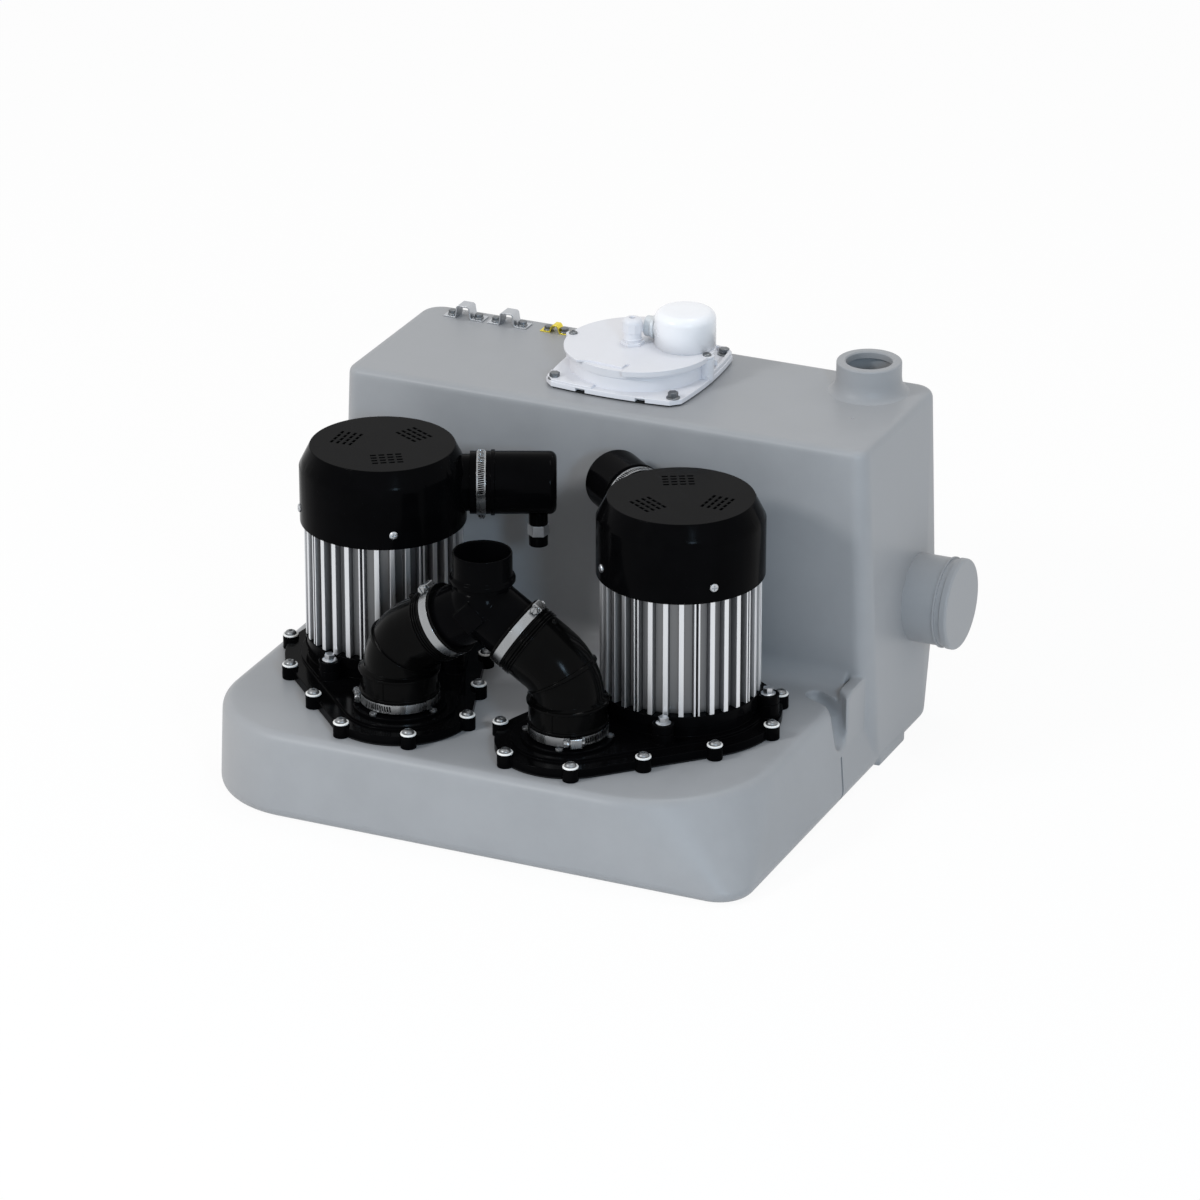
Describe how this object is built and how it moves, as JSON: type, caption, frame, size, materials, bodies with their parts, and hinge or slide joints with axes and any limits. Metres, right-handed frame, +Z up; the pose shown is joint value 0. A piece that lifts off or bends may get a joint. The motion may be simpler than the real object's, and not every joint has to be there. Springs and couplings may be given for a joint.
{
  "type": "grey water lifting station",
  "caption": "Free-standing grey water pump station: moulded plastic tank with two vertical motor pumps, non-return flaps, rubber bends and a Y-piece to a shared discharge port.",
  "frame": {"origin": "on the floor under the tank, midway between the axes of the two motors", "axes": "+X to the right, along the line of the two motors; +Y to the back, towards the tower of the tank; +Z up"},
  "size_m": [0.689, 0.583, 0.443],
  "materials": {
    "grey_tank": "satin, fine moulded texture",
    "black_rubber": "smooth, slightly glossy",
    "seal_rubber": "matt",
    "black_moulding": "gloss",
    "inner_moulding": "matt",
    "bright_aluminium": "extruded, bright",
    "white_nylon": "smooth",
    "white_plastic": "gloss",
    "grey_plastic": "smooth",
    "dark_bolt": "plain",
    "zinc_steel": "zinc plated",
    "stainless": "brushed",
    "yellow_zinc": "yellow chromate",
    "lamination_steel": "plain",
    "copper_winding": "varnished"
  },
  "bodies": {
    "housing": {"tank": "grey_tank", "plate_gaskets": "seal_rubber", "pump_plate_left": "black_moulding", "pump_plate_right": "black_moulding", "plate_washers": "white_nylon", "plate_bolts": "dark_bolt", "pump_casing_left": "inner_moulding", "pump_casing_right": "inner_moulding", "shaft_seals": "seal_rubber", "motor_bearings": "stainless", "bearing_bracket_left": "black_moulding", "bearing_bracket_right": "black_moulding", "stator_left": "copper_winding", "stator_right": "copper_winding", "motor_body_left": "bright_aluminium", "motor_body_right": "bright_aluminium", "end_shields": "bright_aluminium", "motor_bolts": "zinc_steel", "fan_cover_left": "black_moulding", "fan_cover_right": "black_moulding", "cover_screws": "dark_bolt", "capacitor_case_left": "black_moulding", "capacitor_case_right": "black_moulding", "run_capacitors": "white_plastic", "capacitor_clamps": "stainless", "capacitor_glands": "black_moulding", "gland_nuts": "zinc_steel", "outlet_flange_left": "black_moulding", "outlet_flange_right": "black_moulding", "outlet_screws": "dark_bolt", "valve_pins": "stainless", "elbow_left": "black_rubber", "elbow_right": "black_rubber", "lower_clamps": "stainless", "upper_clamps": "stainless", "y_piece": "black_moulding", "hatch_seal": "seal_rubber", "hatch_base": "white_plastic", "hatch_bolts": "dark_bolt", "lid_seal": "seal_rubber", "hatch_lid": "white_plastic", "lid_screws": "dark_bolt", "lid_gland": "white_plastic", "vent_dome": "white_plastic", "vent_spigot": "grey_plastic", "level_tubes": "grey_plastic", "cable_clips": "zinc_steel", "earth_clip": "yellow_zinc", "clip_screws": "zinc_steel"},
    "rotor_left": {"shaft_left": "stainless", "rotor_core_left": "lamination_steel", "fan_left": "inner_moulding", "impeller_left": "inner_moulding"},
    "rotor_right": {"shaft_right": "stainless", "rotor_core_right": "lamination_steel", "fan_right": "inner_moulding", "impeller_right": "inner_moulding"},
    "flap_left": {"valve_flap_left": "seal_rubber"},
    "flap_right": {"valve_flap_right": "seal_rubber"}
  },
  "joints": [
    {"name": "rotor_left_spin", "type": "hinge", "parent": "housing", "child": "rotor_left", "pos_m": [-0.1738, 0, 0.2], "axis": [0, 0, 1], "continuous": true},
    {"name": "rotor_right_spin", "type": "hinge", "parent": "housing", "child": "rotor_right", "pos_m": [0.1738, 0, 0.2], "axis": [0, 0, 1], "continuous": true},
    {"name": "flap_left_hinge", "type": "hinge", "parent": "housing", "child": "flap_left", "pos_m": [-0.12587, -0.12041, 0.1195], "axis": [0, -1, 0], "range_deg": [0, 60]},
    {"name": "flap_right_hinge", "type": "hinge", "parent": "housing", "child": "flap_right", "pos_m": [0.12587, -0.12041, 0.1195], "axis": [0, 1, 0], "range_deg": [0, 60]}
  ]
}
